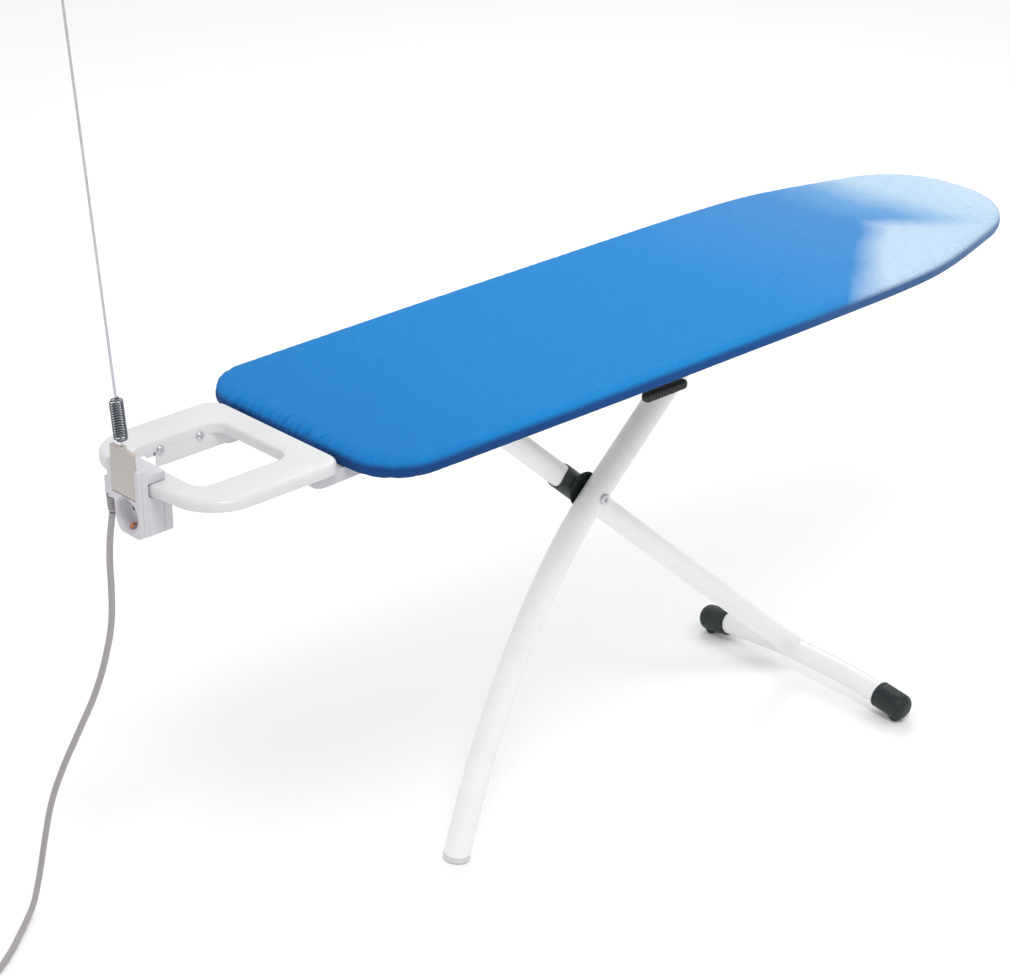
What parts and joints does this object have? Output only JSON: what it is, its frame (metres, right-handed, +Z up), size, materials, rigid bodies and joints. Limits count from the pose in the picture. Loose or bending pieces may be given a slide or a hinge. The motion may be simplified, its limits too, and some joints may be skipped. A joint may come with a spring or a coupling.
{
  "type": "ironing board",
  "caption": "Free-standing padded board on a crossed folding tube frame, with an open iron rest, a clamp-on mains socket with its lead, and a sprung cable guide rod.",
  "frame": {"origin": "on the floor, under the middle of the box of everything but the mains lead", "axes": "+X from the iron rest to the nose of the board, +Y to the side away from the release lever, +Z up"},
  "size_m": [1.754, 0.4622, 1.2946],
  "materials": {
    "cover_fabric": "heathered polyester-cotton weave, blue at the head fading to pale blue at the nose",
    "pad_foam": "soft open-cell foam and felt",
    "galvanised": "zinc-plated sheet steel",
    "white_paint": "glossy white powder coat",
    "rest_plastic": "smooth white moulding",
    "grey_plastic": "satin light grey moulding",
    "lilac_plastic": "satin white moulding with a lilac tint",
    "beige_plastic": "satin grey-beige moulding",
    "dark_plastic": "very dark green-black moulding, lightly textured",
    "steel": "bright plated steel",
    "dark_steel": "dark tempered steel",
    "copper": "copper-plated spring strip",
    "elastic": "woven white cord",
    "cord_pvc": "satin grey flexible PVC"
  },
  "bodies": {
    "board": {"cover": "cover_fabric", "foam_pad": "pad_foam", "mesh_plate": "galvanised", "board_rim": "white_paint", "cover_drawcord": "elastic", "cross_member_head": "galvanised", "cross_member_middle": "galvanised", "cross_member_nose": "galvanised", "rail_near": "galvanised", "rail_far": "galvanised", "height_rack": "galvanised", "leg_hinge_pin": "steel", "hinge_spacer": "dark_plastic", "lever_bracket": "galvanised", "lever_pin": "steel", "lever_spring": "steel", "iron_rest": "rest_plastic", "rest_arm_near": "steel", "rest_arm_far": "steel", "rest_bracket_near": "grey_plastic", "rest_bracket_far": "grey_plastic", "rest_screw_near_1": "steel", "rest_screw_near_2": "steel", "rest_screw_far_1": "steel", "rest_screw_far_2": "steel", "rest_catch": "dark_steel", "socket_body": "lilac_plastic", "socket_insert": "lilac_plastic", "earth_clip_top": "copper", "earth_clip_bottom": "copper", "cord_strain_relief": "cord_pvc", "mains_cord": "cord_pvc", "cord_coil": "cord_pvc", "cord_tail": "cord_pvc", "mains_plug": "cord_pvc", "plug_pin_left": "steel", "plug_pin_right": "steel"},
    "leg_b": {"leg_b_tube": "white_paint", "foot_bar": "white_paint", "foot_cap_near": "dark_plastic", "foot_cap_far": "dark_plastic", "pivot_saddle": "dark_plastic", "pivot_rivet": "steel"},
    "leg_a": {"leg_a_tube": "white_paint", "leg_a_foot_cap": "rest_plastic", "slider_pin": "steel", "glide_bush_near": "dark_plastic", "glide_bush_far": "dark_plastic"},
    "lever": {"release_lever": "galvanised", "lever_grip": "dark_plastic"},
    "cable_guide": {"guide_plate": "beige_plastic", "spring_foot": "steel"},
    "guide_coil": {"guide_spring": "dark_steel"},
    "guide_wand": {"guide_rod": "steel"}
  },
  "joints": [
    {"name": "leg_b_fold", "type": "hinge", "parent": "board", "child": "leg_b", "pos_m": [-0.22983, 0, 0.655], "axis": [0, -1, 0], "range_deg": [-8, 37]},
    {"name": "leg_a_pivot", "type": "hinge", "parent": "leg_b", "child": "leg_a", "pos_m": [-0.0066, 0, 0.454], "axis": [0, -1, 0], "range_deg": [-74, 16]},
    {"name": "release_lever_lift", "type": "hinge", "parent": "board", "child": "lever", "pos_m": [-0.0282, -0.07, 0.655], "axis": [-1, 0, 0], "range_deg": [0, 7], "stiffness_Nm_per_rad": 2, "springref_deg": -14.32, "deforming": ["lever_spring"]},
    {"name": "cable_guide_slide", "type": "slide", "parent": "board", "child": "cable_guide", "axis": [0, 0, 1], "range_m": [0, 0.03]},
    {"name": "guide_flex_lengthwise", "type": "hinge", "parent": "cable_guide", "child": "guide_coil", "pos_m": [-0.72868, 0.00699, 0.75896], "axis": [0, 1, 0], "range_deg": [-60, 60], "stiffness_Nm_per_rad": 0.35, "deforming": ["guide_spring"]},
    {"name": "guide_flex_sideways", "type": "hinge", "parent": "guide_coil", "child": "guide_wand", "pos_m": [-0.72985, 0.00816, 0.7849], "axis": [1, 0, 0], "range_deg": [-45, 45], "stiffness_Nm_per_rad": 0.35, "deforming": ["guide_spring"]}
  ],
  "couplings": [
    {"joint": "leg_a_pivot", "follows": "leg_b_fold", "ratio": -2}
  ]
}
